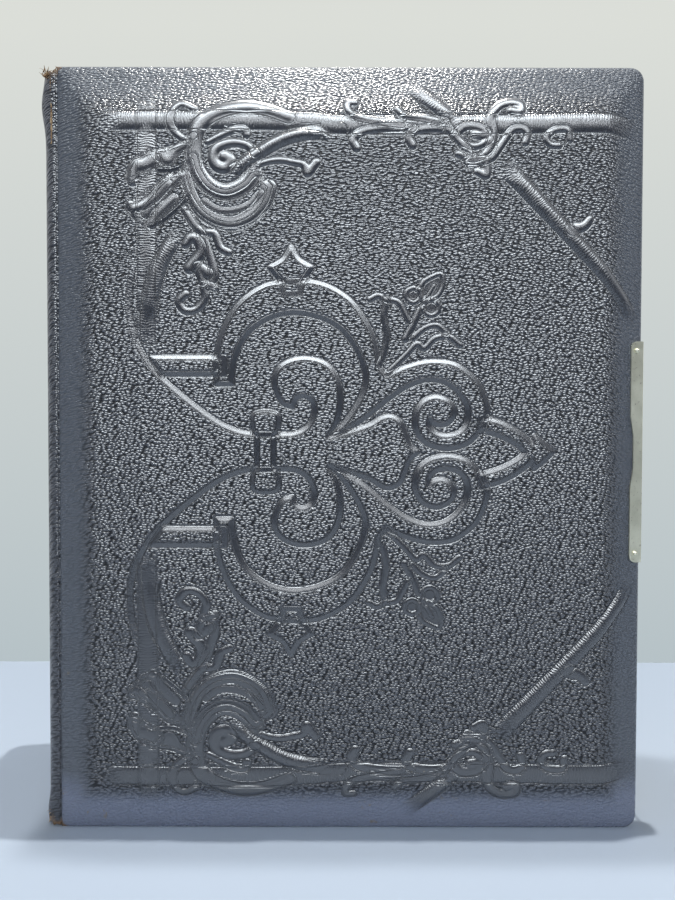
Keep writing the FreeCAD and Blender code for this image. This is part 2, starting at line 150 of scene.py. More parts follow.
def plain_sheet(name, size, place, turn, colour, roughness):
    """One flat surface of the setting."""
    bpy.ops.mesh.primitive_plane_add(size=1, location=place, rotation=turn)
    sheet = bpy.context.object
    sheet.name = name
    sheet.scale = (size[0], size[1], 1)
    bpy.ops.object.transform_apply()
    node, finish, place_on = new_material(f"{name}_surface")
    darker = tuple(0.955 * part for part in colour[:3]) + (1,)
    tone = mix_colour(node, noise(node, place_on, 3.0, 4.0), darker, colour)
    sheet.data.materials.append(finish(Base_Color=tone, Roughness=roughness))
    return sheet


def when_seen(node):
    """1 where the camera or a glossy surface looks, 0 where a surface is only lit."""
    rays = node("ShaderNodeLightPath").outputs
    return math_node(node, "MAXIMUM", rays["Is Camera Ray"], rays["Is Glossy Ray"])


plain_sheet("table", (3.0, 1.4), (0, -0.55, 0), (0, 0, 0), (0.46, 0.54, 0.65, 1), 0.55)
wall = plain_sheet("wall", (5.0, 4.0), (0, 1.9, 0.6), (math.pi / 2, 0, 0),
                   (0.66, 0.67, 0.63, 1), 0.9)
tree = wall.data.materials[0].node_tree
node = node_maker(tree)
place = node("ShaderNodeTexCoord").outputs["Object"]
height = spread(node, node("ShaderNodeSeparateXYZ", {0: place}).outputs["Z"], -0.6, 1.5)
# Painted light: where the camera or a reflection sees it, the wall glows, paler towards the top and
# darker towards the bottom.
painted_wall_light = node("ShaderNodeEmission", {
    "Color": ramp(node, height, (0.0, (0.47, 0.54, 0.57, 1)), (1.0, (0.71, 0.73, 0.69, 1)))})
output = next(item for item in tree.nodes if item.type == "OUTPUT_MATERIAL")
plain = output.inputs["Surface"].links[0].from_socket
wall_with_painted_light = node("ShaderNodeMixShader", {0: when_seen(node), 1: plain, 2: painted_wall_light.outputs[0]})
tree.links.new(wall_with_painted_light.outputs[0], output.inputs["Surface"])


# Surroundings and lamps: a room that is dark in front and pale above and behind, and shows more
# than it lights; a window seen only in the sheen of the leather; small lamps overhead that throw
# the shadows, and a wide low one in front.
world = bpy.data.worlds.new("studio")
world.use_nodes = True
node = node_maker(world.node_tree)
toward = node("ShaderNodeSeparateXYZ", {0: node("ShaderNodeTexCoord").outputs["Generated"]}).outputs
level = math_node(node, "ADD", math_node(node, "MULTIPLY_ADD", toward["Y"], 0.8, 0.8), toward["Z"])
tone = ramp(node, level, (0.06, (0.05, 0.06, 0.085, 1)), (0.55, (0.28, 0.31, 0.36, 1)),
            (1.0, (0.90, 0.94, 1.0, 1)))
LIT_BY_ROOM, SHOWN_BY_ROOM = 0.3, 1.0
strength = math_node(node, "MULTIPLY_ADD", when_seen(node),
                     SHOWN_BY_ROOM - LIT_BY_ROOM, LIT_BY_ROOM)
background = world.node_tree.nodes["Background"]
world.node_tree.links.new(tone, background.inputs["Color"])
world.node_tree.links.new(strength, background.inputs["Strength"])
bpy.context.scene.world = world


ALBUM_MIDDLE = Vector((0, -0.03, 0.14))


def soft_lamp(name, place, size, power, colour, sheen_only=False):
    """A lamp pointed at the album; with sheen_only it shows in glossy surfaces and no more."""
    data = bpy.data.lights.new(name, "AREA")
    data.shape = "RECTANGLE"
    data.size, data.size_y = size
    data.energy = power
    data.color = colour
    lamp = bpy.data.objects.new(name, data)
    lamp.location = place
    lamp.rotation_euler = (ALBUM_MIDDLE - lamp.location).to_track_quat("-Z", "Y").to_euler()
    lamp.visible_diffuse = not sheen_only
    bpy.context.scene.collection.objects.link(lamp)


soft_lamp("window_light", (0.0, -0.80, 1.12), (1.5, 0.40), 25.0, (0.88, 0.95, 1.0), True)
soft_lamp("ceiling_light", (0.08, -0.012, 1.5), (0.012, 0.012), 13.0, (1.0, 0.97, 0.92))
soft_lamp("low_light", (0.0, -1.5, 1.0), (2.0, 0.34), 10.5, (0.93, 0.96, 1.0))
soft_lamp("rear_light", (-0.1, 0.05, 1.5), (0.05, 0.05), 8.5, (1.0, 0.98, 0.95))


# Front cover's skin: one hide of black grained leather drawn over the board and its bevelled panel,
# pressed with an old strapwork ornament and a border of bark twigs, and turned in round the edges.
# Each point is in millimetres from the middle of the cover's height and of the album's width,
# for the upper half; the lower half is its mirror image.
NEAR, FAR = 6, 99.0


def smooth_line(points, steps=5):
    """A smooth line through given points."""
    points = np.array(points, float)
    if len(points) < 3:
        return points
    points = np.vstack([2 * points[0] - points[1], points, 2 * points[-1] - points[-2]])
    t = np.linspace(0, 1, steps, endpoint=False)[:, None]
    parts = [0.5 * (2 * b + (c - a) * t + (2 * a - 5 * b + 4 * c - d) * t**2
                    + (3 * b - a - 3 * c + d) * t**3)
             for a, b, c, d in zip(points, points[1:], points[2:], points[3:])]
    return np.vstack(parts + [points[-2:-1]])


def to_line(where, line):
    """How far each place is from a line, and how far along the line it is."""
    nearest = np.full(len(where), FAR)
    along = np.zeros(len(where))
    close = np.all((where > line.min(0) - NEAR) & (where < line.max(0) + NEAR), axis=1)
    spots, best, best_along, run = where[close], nearest[close], along[close], 0.0
    for start, end in zip(line, line[1:]):
        step = end - start
        length = math.hypot(*step)
        if length < 1e-6:
            continue
        t = np.clip((spots - start) @ step / length**2, 0, 1)
        away = np.hypot(*(spots - start - t[:, None] * step).T)
        closer = away < best
        best[closer] = away[closer]
        best_along[closer] = run + t[closer] * length
        run += length
    nearest[close], along[close] = best, best_along
    return nearest, along


def within(where, outline):
    """Whether each place is inside a closed outline."""
    x, y = where.T
    result = np.zeros(len(where), bool)
    for (ax, ay), (bx, by) in zip(outline, np.roll(outline, -1, axis=0)):
        if ay != by:
            result ^= ((ay > y) != (by > y)) & (x < (bx - ax) * (y - ay) / (by - ay) + ax)
    return result


def soft_step(value):
    """A smooth passage from 0 to 1."""
    value = np.clip(value, 0, 1)
    return value * value * (3 - 2 * value)


# Raised forms: height, width of the sloping wall, whether it fades out to the left and the head,
# and the runs of the outline, smooth in themselves and meeting at corners.
ring_and_volute = (0.75, 2.0, False, [
    [(-4.5, 5.5), (-0.5, 9.5), (3.5, 15), (7, 21.5), (8, 27), (6.5, 33), (3.5, 39), (-1, 44.5),
     (-7, 48), (-14.5, 50), (-21, 50), (-27.5, 48), (-33.5, 44), (-37, 39.5), (-39.5, 33),
     (-40.5, 27), (-40.5, 24.5)],
    [(-46, 24.5), (-46, 33), (-45, 39), (-42.5, 46), (-38.5, 52.5), (-33.5, 57), (-28, 60),
     (-22.5, 61.2)],
    [(-15, 61.5), (-11, 61.2), (-6.5, 60), (-1.5, 57.5), (3.5, 53.5), (8.5, 46), (11, 40),
     (13, 31)],
    [(15.5, 27.5), (22, 30.5), (29, 32.5), (35, 32.7), (40, 31.8), (44.5, 29), (48.5, 25),
     (51, 19.5), (52, 15), (51.5, 12)],
    [(51.5, 12), (49, 7.2), (44.5, 3), (38, 1.3), (32, 2.3), (28.5, 4.5), (26.5, 7.5),
     (25.8, 11.5), (26.7, 15.5), (29, 18.5), (33, 20), (37, 19), (39.6, 16.5), (40, 13.5),
     (38.3, 11), (35.5, 9.8), (32.5, 10.5), (31.3, 12)],
    [(31.3, 12), (31, 9.5), (33.2, 7), (37, 6), (41.5, 7), (44.3, 10), (45, 14), (44.2, 17.5),
     (41.5, 21.5), (38, 24.5), (34, 26), (29, 26), (24, 24.3), (20, 22), (14.5, 18), (8.5, 13),
     (2.5, 9), (-4.5, 5.5)]])
diamond = (0.75, 2.0, False, [
    [(-21.5, 57), (-22.5, 61), (-26.8, 66.5)], [(-26.8, 66.5), (-22, 69.2), (-19, 74)],
    [(-19, 74), (-16.3, 69.4), (-11.5, 66.5)], [(-11.5, 66.5), (-15, 61), (-16, 57)]])
body_and_tongue = (0.75, 2.0, True, [
    [(-76, 76), (-75.5, 68), (-76.8, 61.5), (-77.5, 54.5), (-77, 47), (-74, 38), (-68, 29),
     (-57.5, 19.5), (-46, 11), (-38, 7.4), (-32.5, 6.5), (-24.5, 6.3), (-17.5, 6.6),
     (-12.7, 9.5), (-10.5, 14.5), (-11.5, 18.5), (-14.5, 20.3), (-17.2, 19.4), (-18.5, 16.8)],
    [(-18.5, 16.3), (-21.8, 17.5), (-24.2, 21.5), (-25, 26.5), (-23, 30.7), (-18.5, 33.2),
     (-13, 33.8), (-7, 32.2), (-3.3, 28.5), (-1.3, 23), (-1.3, 16.5), (-2.8, 10), (-5.3, 5.6)],
    [(-4.5, 5.5), (3.5, 7.7), (10, 10), (13.5, 12.2), (17, 13), (20.5, 11), (22, 7.5),
     (24, 2.7), (27, 0)],
    [(27, -15), (-200, -15), (-200, 76)]])
arrow = (0.75, 2.0, False, [
    [(50, 12.6), (56, 11), (61, 8.7), (65.5, 5.7), (68.3, 3.2)], [(69, 6), (72.5, 3.3), (75.8, 0)],
    [(75.8, -6), (65, -6)], [(65.5, 0), (63.5, 2.2), (59, 4.8), (54.5, 6.6), (49, 8)]])
bar = (0.75, 2.0, False, [[(-70, 34), (-43, 34)], [(-43, 28), (-66, 28)]])
dumb_bell = (1.1, 1.6, False, [
    [(-31.3, -9), (-31.3, 5), (-32.4, 7), (-32.4, 14), (-24, 14), (-24, 7), (-25.2, 5),
     (-25.2, -9)]])
flower_leaf = (-0.5, 2.2, False, [
    [(29, 54), (27.5, 57.5), (28.5, 61), (31.5, 63), (35, 64)], [(35, 64), (35.7, 60), (34, 56.5),
                                                                 (31.5, 55), (29, 54)]])
flower_lobes = [(-0.6, 2.2, False, [[
    (x + 2.6 * math.cos(turn), z + 2.6 * math.sin(turn)) for turn in np.linspace(0, 5.6, 9)]])
    for x, z in ((25, 56.5), (31.5, 52.1))]
crescent = (0.4, 1.8, False, [
    [(-58, 101), (-56.5, 94), (-52, 86.5), (-46, 82.5), (-39.5, 81.5), (-33, 84), (-28.5, 89),
     (-26.5, 95)],
    [(-26.5, 95), (-31.5, 99.5), (-36, 95.5), (-42, 93), (-48, 95), (-52, 100.5), (-54, 106),
     (-58, 101)]])
leaves_beside = [
    (0.35, 1.5, False, [[(-56, 111), (-62, 109), (-68.5, 107.5), (-75.5, 104.5), (-78, 98),
                         (-73.5, 98.5), (-69, 101), (-62, 101), (-56, 104), (-56, 111)]]),
    (0.35, 1.5, False, [[(-58, 99.5), (-64, 98.5), (-70.5, 92.5), (-78, 88.5), (-75, 84),
                         (-69, 81), (-62.5, 85), (-56, 92), (-58, 99.5)]])]
raised_forms = [ring_and_volute, diamond, body_and_tongue, arrow, bar, dumb_bell,
                flower_leaf, *flower_lobes, crescent, *leaves_beside]

# Strokes: half-widths at start and end, height, whether it has bark, and points
strokes = [
    # twigs of the border
    (3.0, 3.0, 0.35, True, [(-71, 131), (-71, 100), (-71.3, 60), (-71.5, 33)]),
    (2.4, 2.6, 1.1, True, [(-57, 82), (-62, 75), (-66.5, 66), (-69.5, 55), (-70, 42)]),
    (3.0, 3.2, 0.55, True, [(-91, 118.5), (-52, 118.8), (-16, 118.5), (0, 117.3), (35, 117.2),
                           (60, 117.5), (93, 118), (107.5, 115.6)]),
    (2.1, 2.4, 1.3, True, [(-45, 97), (-39.5, 100.5), (-32.5, 106), (-23, 111.5), (-14.5, 114),
                           (-2, 115)]),
    (2.4, 2.4, 1.1, True, [(21, 134), (30.5, 126.5), (38, 119.5), (41, 112.5)]),
    (3.1, 2.0, 1.2, True, [(55, 105), (63.5, 96.5), (74, 85.5), (83.5, 75.5), (93, 65),
                           (101, 55), (106, 46)]),
    (1.6, 0.8, 1.0, False, [(82, 80), (86.5, 81.5), (88.5, 84)]),
    # large scroll of the corner
    (1.5, 2.1, 1.2, False, [(-20, 119.8), (-28, 122.8), (-35, 124), (-41.5, 123), (-47.5, 120.5),
                            (-52, 116.5), (-53.8, 111.5), (-54, 106), (-52.5, 100.5), (-49, 96),
                            (-44, 93.5), (-39.5, 94), (-35, 96.5), (-32.5, 100)]),
    (0.9, 1.5, 1.1, False, [(-31.5, 106.5), (-35, 110), (-40.5, 110.8), (-45.5, 109), (-47, 105.5),
                            (-45.5, 102.5), (-42.5, 102), (-41, 104.5), (-43, 106)]),
    (1.2, 1.9, 0.9, False, [(-57, 99), (-55, 92.5), (-51.5, 86.5), (-46, 83), (-39.5, 82),
                            (-33.5, 84.8), (-29, 89.5), (-27, 95)]),
    (0.7, 0.7, 0.8, False, [(-50, 90), (-46, 87.3), (-41, 86.6), (-34.5, 88.6), (-30, 93)]),
    (0.7, 1.0, 1.0, False, [(-33, 102), (-28, 104), (-23, 104.7), (-18.5, 104), (-14.5, 103),
                            (-13.2, 100), (-11.5, 102), (-10, 104)]),
    (0.7, 0.8, 0.8, False, [(-53.5, 123), (-58, 125), (-61, 123.3), (-62.5, 119), (-61, 115),
                            (-57, 112), (-54, 113)]),
    (0.7, 0.9, 0.9, False, [(-49, 111), (-44, 113.5), (-39.5, 115.3), (-36, 115.5), (-35, 113.7)]),
    # leaves and sprigs beside it
    (1.0, 1.5, 0.9, False, [(-56, 110.5), (-60.5, 108), (-63, 104.5), (-66, 106.5)]),
    (2.0, 1.2, 1.0, False, [(-69, 104.5), (-71.5, 103), (-75, 102), (-76, 97)]),
    (1.4, 0.9, 1.0, False, [(-64, 96), (-69.5, 90), (-75.5, 87.3), (-77, 89)]),
    (0.9, 1.2, 0.8, False, [(-59, 99), (-65.5, 92.5), (-71, 85.5)]),
    (1.0, 1.3, 0.8, False, [(-61, 91), (-67, 85.5), (-69, 82)]),
    (0.8, 0.9, 0.9, False, [(-57.5, 87), (-53.5, 81), (-50, 79), (-46.5, 78.3), (-44.5, 73.5),
                            (-41.5, 71.7)]),
    (0.7, 1.0, 0.8, False, [(-56, 85.5), (-51.5, 79), (-49, 73), (-46.8, 65), (-47.5, 60.5)]),
    (1.0, 1.4, 1.0, False, [(-57, 74.5), (-55, 77), (-52.5, 75.5), (-51.5, 71.5), (-55.5, 66)]),
    (1.3, 0.8, 0.9, False, [(-49, 64), (-52.5, 66.5), (-51, 61)]),
    (0.9, 0.8, 0.9, False, [(-57, 56.7), (-59.5, 54), (-57.2, 50.8), (-53, 51.3), (-50, 55.3),
                            (-50.5, 60), (-46.5, 59)]),
    # scrolls over the upper twig
    (0.7, 1.0, 1.0, False, [(4, 125.5), (1, 125.3), (2.3, 121.5), (8, 119.2), (20.5, 117.5)]),
    (0.7, 1.0, 1.0, False, [(19, 123), (21.5, 120.7), (28.5, 119.7), (36, 118)]),
    (1.0, 0.9, 1.0, False, [(4.5, 109), (3.2, 112), (7, 115), (16.5, 116.2), (24.5, 116)]),
    (1.0, 0.9, 1.0, False, [(24.5, 110), (23.3, 113), (26, 115.3), (32.5, 116), (37, 115.5)]),
    (0.8, 1.0, 1.0, False, [(52, 112), (47, 109.7), (41.5, 111.5), (40.8, 114.5), (44, 116.8),
                            (49, 116), (51, 113.5), (46.5, 114)]),
    (0.9, 1.1, 1.1, False, [(41, 107), (46, 105.3), (51, 107.5), (53.5, 113), (52.5, 119.5),
                            (55, 124), (59, 125.7), (63, 125), (63, 122.3), (60, 122.7)]),
    (0.9, 0.8, 1.0, False, [(44, 104.3), (52, 105), (56.5, 110.5), (60, 115.3), (63.5, 116),
                            (65.7, 114), (65, 111)]),
    (0.8, 0.7, 1.0, False, [(77, 110), (74, 110.3), (72.5, 113), (75.5, 115.5), (80, 115.5),
                            (81, 112)]),
    (1.3, 0.9, 0.9, False, [(45.5, 103.5), (50.5, 104), (51, 99.5), (48, 100.7)]),
    (0.9, 0.8, 1.0, False, [(36, 117.5), (41, 111.5), (45.5, 107)]),
    # three-leaved flower and the leaves about its stem
    (0.5, 0.5, 0.6, False, [(29, 54), (27.5, 57.5), (28.5, 61), (31.5, 63), (35, 64), (35.7, 60),
                            (34, 56.5), (31.5, 55), (29, 54)]),
    (0.4, 0.3, 0.5, False, [(29, 54), (32.5, 60)]),
    (0.5, 0.5, 0.6, False, [(25, 59.2), (27.3, 57.8), (27.3, 55.2), (25, 53.8), (22.7, 55.2),
                            (22.7, 57.8), (25, 59.2)]),
    (0.5, 0.5, 0.6, False, [(31.5, 55), (34, 53.6), (34, 50.6), (31.5, 49.2), (29, 50.6),
                            (29, 53.6), (31.5, 55)]),
    (0.7, 0.8, 0.7, False, [(27.5, 51.5), (25, 46), (22.3, 40.7)]),
    (0.6, 0.7, 0.7, False, [(12.7, 31), (14.5, 35.5), (15.5, 42), (14.5, 49), (15, 54),
                            (12.5, 56.3), (9.5, 55)]),
    (0.7, 0.6, 0.7, False, [(15.5, 55), (19.5, 54), (21.7, 50.5), (23.5, 47)]),
    (0.6, 0.7, 0.7, False, [(15.7, 28.5), (22, 34.5), (26.5, 39), (29, 37.3), (33, 41),
                            (38, 41.5), (42, 38.5)]),
    (0.6, 0.6, 0.6, False, [(25, 41), (29, 44.5), (33.5, 45.7), (37, 43)]),
]
form_outlines = [(height, wall, fades, np.vstack([smooth_line(run) for run in runs]))
                 for height, wall, fades, runs in raised_forms]
# Strokes without bark are broad and low, as the die left them
WIDER, LOWER = 1.4, 0.62
stroke_lines = [(start, end, height, bark, smooth_line(points)) if bark else
                (WIDER * start, WIDER * end, LOWER * height, bark, smooth_line(points))
                for start, end, height, bark, points in strokes]
TWIG_FADE = 14.0


def pressed_ornament(x, z):
    """For places on the panel in millimetres: height of the ornament, how smooth the die left it,
    bark, the way along a twig, place across the nearest wall, and distance from any ornament."""
    where = np.stack([x, np.abs(z)], axis=1)
    height, smooth, bark, twig = np.zeros((4, len(where)))
    rim, edge = np.full(len(where), -9.0), np.full(len(where), FAR)
    for rise, wall, fades, outline in form_outlines:
        away, _ = to_line(where, np.vstack([outline, outline[:1]]))
        across = np.where(within(where, outline), away, -away) / wall
        if rise < 0:
            height += rise * soft_step(across)
            smooth = np.maximum(smooth, soft_step(across * 6))
            edge = np.minimum(edge, np.where(across > 0, 0, away))
            continue
        fade = soft_step((x + 96) / 30) * soft_step((74 - where[:, 1]) / 14) if fades else 1.0
        slope = np.clip(across + 0.5, 0, 1)
        height = np.maximum(height, fade * rise * (0.7 * slope + 0.3 * soft_step(slope)))
        smooth = np.maximum(smooth, fade * soft_step((0.68 - np.abs(across)) / 0.15))
        away = np.where(fade > 0.05, away, FAR)
        nearer = (np.abs(np.abs(2 * across) - 1) < np.abs(np.abs(rim) - 1)) & (away < 9)
        rim = np.where(nearer, 2 * across, rim)
        edge = np.minimum(edge, away)
    for start, end, rise, barked, line in stroke_lines:
        away, along = to_line(where, line)
        length = np.hypot(*np.diff(line, axis=0).T).sum()
        half = start + (end - start) * along / length + 0.3
        across = np.clip(away / half, 0, 2)
        fade = (soft_step(along / TWIG_FADE) * soft_step((length - along) / TWIG_FADE)
                if barked else 1.0)
        height = np.maximum(height, fade * rise * (1 - np.minimum(across, 1) ** 2.5))
        on_stroke = soft_step((1.25 - across) / 0.25) * fade
        smooth = np.maximum(smooth, on_stroke)
        bark *= 1 - on_stroke
        if barked:
            bark = np.maximum(bark, on_stroke * (0.35 + 0.65 * np.minimum(across, 1)))
            twig = np.where(across < 1.2, along, twig)
        foot = np.minimum(half - away, 0.7) - 1.0
        nearer = (np.abs(foot + 1) < np.abs(np.abs(rim) - 1)) & (away < 5) & (fade > 0.4)
        rim = np.where(nearer, foot, rim)
        edge = np.minimum(edge, np.abs(away - half) if barked else np.maximum(away - half, 0))
    return height, smooth, bark, twig, rim, edge


def no_ornament(x, z):
    """Two plain lines pressed round the panel, as on the back of such a cover."""
    side = np.minimum(np.minimum(x + 90.8, 95.2 - x), 122 - np.abs(z))
    away = np.minimum(np.abs(side - 5.0), np.abs(side - 7.5))
    line = soft_step(1.4 - away / 0.8)
    plain = np.zeros(len(x))
    return -0.35 * soft_step(1 - away / 0.8), line, plain, plain.copy(), plain - 9, away


SPINE_SIDE, FORE_EDGE, TALL = -104.8, 109.2, 280.0
BEVEL_FOOT, BEVEL_RISE, INNER_FACE, BOARD_FACE = 27.5, 3.6, 22.1, 23.0
BEVEL_SIDE, BEVEL_HEAD, TURN_IN, CORNER = 14.0, 18.0, 9.0, 5.0
PANEL_BACK, EDGE_ROUND, NOTCH_HALF = 26.6, 0.9, 8.4
# Rings from the worked face round the edge, over the turn-in and back under the boards:
# inset at the sides, inset at head and tail, distance from the album's middle, and recess
skin_rings = [
    (0.45, 0.45, BEVEL_FOOT - 0.12, 0), (0.13, 0.13, BEVEL_FOOT - 0.4, 0),
    (0, 0, BEVEL_FOOT - EDGE_ROUND, 0), (0, 0, 25.75, 0), (0, 0, 25.6, 1.6),
    (0, 0, INNER_FACE + 0.5, 1.6), (0.13, 0.13, INNER_FACE + 0.2, 1.6),
    (0.5, 0.5, INNER_FACE, 1.2), (2.2, 2.2, INNER_FACE, 0),
    (TURN_IN - 0.3, TURN_IN - 0.3, INNER_FACE, 0),
    (TURN_IN, TURN_IN, INNER_FACE + 0.3, 0), (TURN_IN, TURN_IN, BOARD_FACE, 0),
    (2.5, 2.5, BOARD_FACE, 0), (2.5, 2.5, PANEL_BACK - 0.4, 0),
    (BEVEL_SIDE + 1, BEVEL_HEAD + 1, BEVEL_FOOT + BEVEL_RISE - 1.1, 0)]


def on_outline(x, z, inset_side, inset_head):
    """Places of the cover's outline drawn in by two insets, with the fore-edge corners round."""
    low_x, high_x = SPINE_SIDE + inset_side, FORE_EDGE - inset_side
    low_z, high_z = inset_head, TALL - inset_head
    x = low_x + (x - SPINE_SIDE) / (FORE_EDGE - SPINE_SIDE) * (high_x - low_x)
    z = low_z + z / TALL * (high_z - low_z)
    radius = np.maximum(CORNER - np.maximum(inset_side, inset_head), 0.2)
    past_x = np.maximum(x - (high_x - radius), 0)
    from_middle = np.abs(z - TALL / 2)
    past_z = np.maximum(from_middle - (TALL / 2 - low_z - radius), 0)
    round_off = np.maximum(past_x, past_z) / np.maximum(np.hypot(past_x, past_z), 1e-9)
    corner = (past_x > 0) & (past_z > 0)
    shrink = np.where(corner, round_off, 1.0)
    x = np.where(corner, high_x - radius + past_x * shrink, x)
    rounded = TALL / 2 - low_z - radius + past_z * shrink
    z = np.where(corner, TALL / 2 + np.sign(z - TALL / 2) * rounded, z)
    return x, z


def cover_skin(name, facing, ornament, recessed, reaches):
    """Leather skin of one cover as a closed mesh; facing is -1 for the front and 1 for the rear."""
    bpy.ops.mesh.primitive_grid_add(x_subdivisions=107, y_subdivisions=140, size=1)
    skin = bpy.context.object
    skin.name = name
    skin.scale = ((FORE_EDGE - SPINE_SIDE) * MM, TALL * MM, 1)
    skin.location = ((FORE_EDGE + SPINE_SIDE) / 2 * MM, TALL / 2 * MM, 0)
    bpy.ops.object.transform_apply()
    mesh = skin.data
    mesh.attributes.new("ring", "INT", "POINT")
    bpy.ops.object.mode_set(mode="EDIT")
    bpy.ops.mesh.select_mode(type="FACE")
    for reach in reaches:
        bpy.ops.mesh.select_all(action="DESELECT")
        shape = bmesh.from_edit_mesh(mesh)
        centres = np.array([face.calc_center_median()[:2] for face in shape.faces]) / MM
        near = ornament(centres[:, 0], centres[:, 1] - TALL / 2)[5] < reach
        for face, chosen in zip(shape.faces, near):
            face.select_set(bool(chosen) and len(face.verts) == 4)
        bmesh.update_edit_mesh(mesh)
        bpy.ops.mesh.subdivide(number_cuts=1)
    bpy.ops.mesh.select_mode(type="EDGE")
    bpy.ops.mesh.select_all(action="DESELECT")
    bpy.ops.mesh.select_non_manifold(use_wire=False, use_multi_face=False, use_non_contiguous=False,
                                     use_verts=False)
    for number in range(1, len(skin_rings) + 1):
        bpy.ops.mesh.extrude_edges_move()
        shape = bmesh.from_edit_mesh(mesh)
        layer = shape.verts.layers.int["ring"]
        for vertex in shape.verts:
            if vertex.select:
                vertex[layer] = number
        bmesh.update_edit_mesh(mesh)
    bpy.ops.mesh.edge_face_add()
    bpy.ops.object.mode_set(mode="OBJECT")

    count = len(mesh.vertices)
    places = np.zeros(count * 3)
    mesh.vertices.foreach_get("co", places)
    plan_x, plan_z, _ = places.reshape(-1, 3).T / MM
    ring = np.zeros(count, np.int32)
    mesh.attributes["ring"].data.foreach_get("value", ring)
    x, z = on_outline(plan_x, plan_z, EDGE_ROUND, EDGE_ROUND)
    side = np.minimum(x - SPINE_SIDE, FORE_EDGE - x) / BEVEL_SIDE
    head = np.minimum(z, TALL - z) / BEVEL_HEAD
    soft = 0.035
    climb = -soft * np.log(np.exp(-side / soft) + np.exp(-head / soft) + np.exp(-1 / soft))
    rise, pressed, bark, twig, rim, _ = ornament(x, z - TALL / 2)
    on_face = soft_step(np.minimum(side * BEVEL_SIDE, head * BEVEL_HEAD) / 3)
    out = BEVEL_FOOT + BEVEL_RISE * climb + rise * on_face
    grain = (1 - pressed) * (0.72 + 0.28 * soft_step((climb - 0.45) / 0.55))
    for number, (inset_side, inset_head, distance, recess) in enumerate(skin_rings, start=1):
        here = ring == number
        x[here], z[here] = on_outline(plan_x[here], plan_z[here], inset_side, inset_head)
        out[here] = distance
        if recess and recessed:
            notch = here & (np.abs(z - TALL / 2) < NOTCH_HALF) & (x > 100)
            x[notch] -= recess
        grain[here], pressed[here], bark[here], rim[here] = 0.4, 0, 0, -9
    mesh.attributes.remove(mesh.attributes["ring"])
    mesh.vertices.foreach_set("co", np.stack([x, facing * out, z], axis=1).ravel() * MM)
    for label, values in (("grain", grain), ("pressed", pressed), ("bark", bark), ("twig", twig),
                          ("rim", rim)):
        layer = mesh.attributes.new(label, "FLOAT", "POINT")
        layer.data.foreach_set("value", values.astype(np.float32))
    if facing > 0:
        mesh.flip_normals()
    mesh.update()
    bpy.ops.object.shade_smooth_by_angle(angle=math.radians(50))
    return skin


GRAIN_SCALE, GRAIN_DEPTH, BARK_STEP, CREASE_WIDE = 1200.0, 0.00036, 0.95, 0.3
ROUGH, GAP, HALF_TALL = 0.22, (0.38, 0.72), TALL / 2 * MM
LEATHER_DARK, LEATHER_PALE = (0.026, 0.030, 0.042, 1), (0.042, 0.046, 0.060, 1)
# Painted shade for the gaps, creases and pressed parts, and painted reflection for the bevels and
# the tail, beside the leather's own colours.
GAP_SHADE, CREASE_SHADE = (0.002, 0.003, 0.006, 1), (0.003, 0.003, 0.006, 1)
PRESSED_SHADE, SCUFF_TAN = (0.016, 0.018, 0.024, 1), (0.22, 0.17, 0.11, 1)
BEVEL_REFLECTION_GREY, TAIL_REFLECTION_BLUE = (0.13, 0.145, 0.17, 1), (0.19, 0.215, 0.29, 1)
TORN_BROWN, WORN_BROWN = (0.17, 0.10, 0.055, 1), (0.20, 0.12, 0.06, 1)


